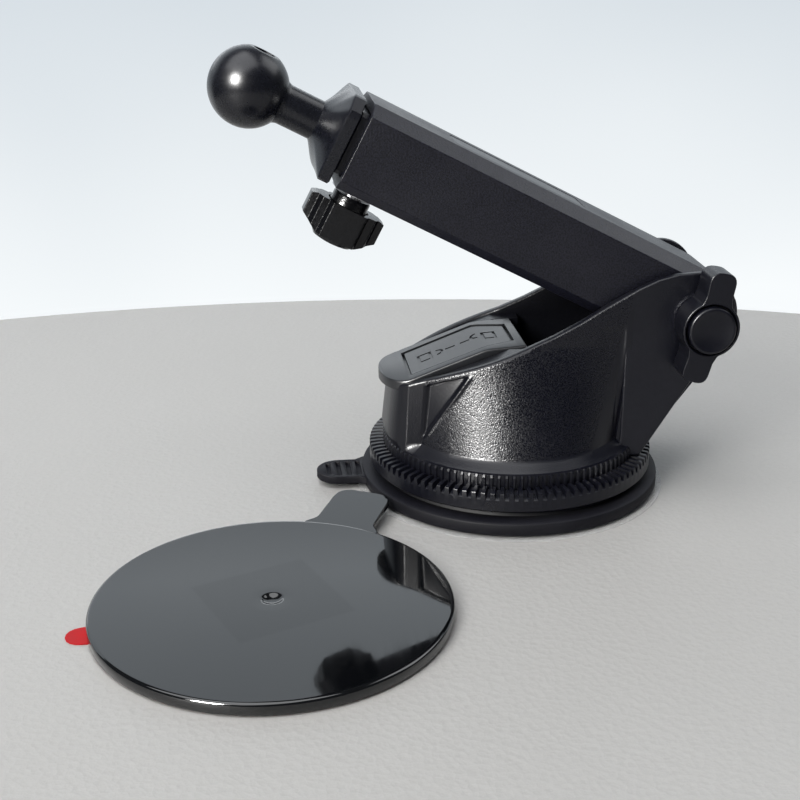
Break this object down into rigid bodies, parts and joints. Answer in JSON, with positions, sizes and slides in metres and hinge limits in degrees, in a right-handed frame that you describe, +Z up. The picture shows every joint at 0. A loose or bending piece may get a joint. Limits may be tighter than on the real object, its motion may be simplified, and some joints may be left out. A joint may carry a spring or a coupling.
{
  "type": "suction cup phone mount",
  "caption": "Dashboard phone mount: lever-locked suction cup, pivoting telescopic arm with ball end, clamping knobs, and a loose stick-on disc.",
  "frame": {"origin": "centre of the suction cup, on the underside of its protective film, on the surface it stands on", "axes": "+Z up out of that surface; the arm lies in the XZ plane, its pivot towards +X and its ball towards -X"},
  "size_m": [0.1417, 0.1274, 0.0986],
  "materials": {
    "clear_film": "thin clear plastic sheet",
    "gel": "soft tacky gel",
    "cup_rubber": "satin rubber",
    "satin_black": "smooth satin moulded plastic",
    "grained_black": "fine spark-grained moulded plastic",
    "gloss_black": "high gloss moulded plastic",
    "bright_steel": "plated steel",
    "nut_brass": "turned brass",
    "white_nylon": "natural nylon",
    "adhesive_foam": "acrylic foam tape",
    "red_liner_film": "red release film"
  },
  "bodies": {
    "base": {"protective_film": "clear_film", "gel_layer": "gel", "suction_cup": "cup_rubber", "base_plate": "satin_black", "toothed_ring": "satin_black", "housing": "grained_black", "housing_screw_1": "bright_steel", "housing_screw_2": "bright_steel", "housing_screw_3": "bright_steel", "housing_screw_4": "bright_steel", "return_spring": "bright_steel", "friction_washer_near": "white_nylon", "friction_washer_far": "white_nylon", "pivot_bolt": "bright_steel", "bolt_washer": "bright_steel", "knob_washer": "bright_steel"},
    "stem": {"suction_stem": "white_nylon", "lever_pin": "bright_steel"},
    "lever": {"lock_lever": "satin_black", "lever_panel": "grained_black"},
    "outer_arm": {"arm_sleeve": "grained_black", "top_inlay": "satin_black", "pivot_bush": "bright_steel", "clamp_insert": "bright_steel"},
    "inner_arm": {"slide_tube": "satin_black", "ball_head": "satin_black", "head_screw": "bright_steel", "glide_block": "white_nylon"},
    "clamp_knob": {"thumb_knob": "gloss_black", "thumb_bolt": "bright_steel", "clamp_pad": "white_nylon"},
    "pivot_knob": {"pivot_knob": "satin_black", "knob_cap": "satin_black", "knob_nut": "nut_brass"},
    "disc": {"mounting_disc": "gloss_black", "adhesive_pad": "adhesive_foam", "red_liner": "red_liner_film"}
  },
  "joints": [
    {"name": "lever_lift", "type": "hinge", "parent": "stem", "child": "lever", "pos_m": [0, 0, 0.0244], "axis": [0, 1, 0], "range_deg": [0, 60]},
    {"name": "stem_travel", "type": "slide", "parent": "base", "child": "stem", "axis": [0, 0, 1], "range_m": [-0.0023, 0], "deforming": ["return_spring", "suction_cup", "gel_layer"]},
    {"name": "arm_tilt", "type": "hinge", "parent": "base", "child": "outer_arm", "pos_m": [0.0379, 0, 0.0411], "axis": [0, 1, 0], "range_deg": [-20, 130]},
    {"name": "arm_extend", "type": "slide", "parent": "outer_arm", "child": "inner_arm", "axis": [-0.887, 0, 0.4618], "range_m": [0, 0.04]},
    {"name": "clamp_screw", "type": "hinge", "parent": "outer_arm", "child": "clamp_knob", "pos_m": [-0.03004, 0, 0.07647], "axis": [0.4618, 0, 0.887], "continuous": true},
    {"name": "pivot_screw", "type": "hinge", "parent": "base", "child": "pivot_knob", "pos_m": [0.0379, 0, 0.0411], "axis": [0, 1, 0], "continuous": true},
    {"name": "disc_lift", "type": "slide", "parent": "base", "child": "disc", "axis": [0, 0, 1], "range_m": [0, 0.03]}
  ],
  "couplings": [
    {"joint": "stem_travel", "follows": "lever_lift", "m_per_rad": -0.0021}
  ]
}
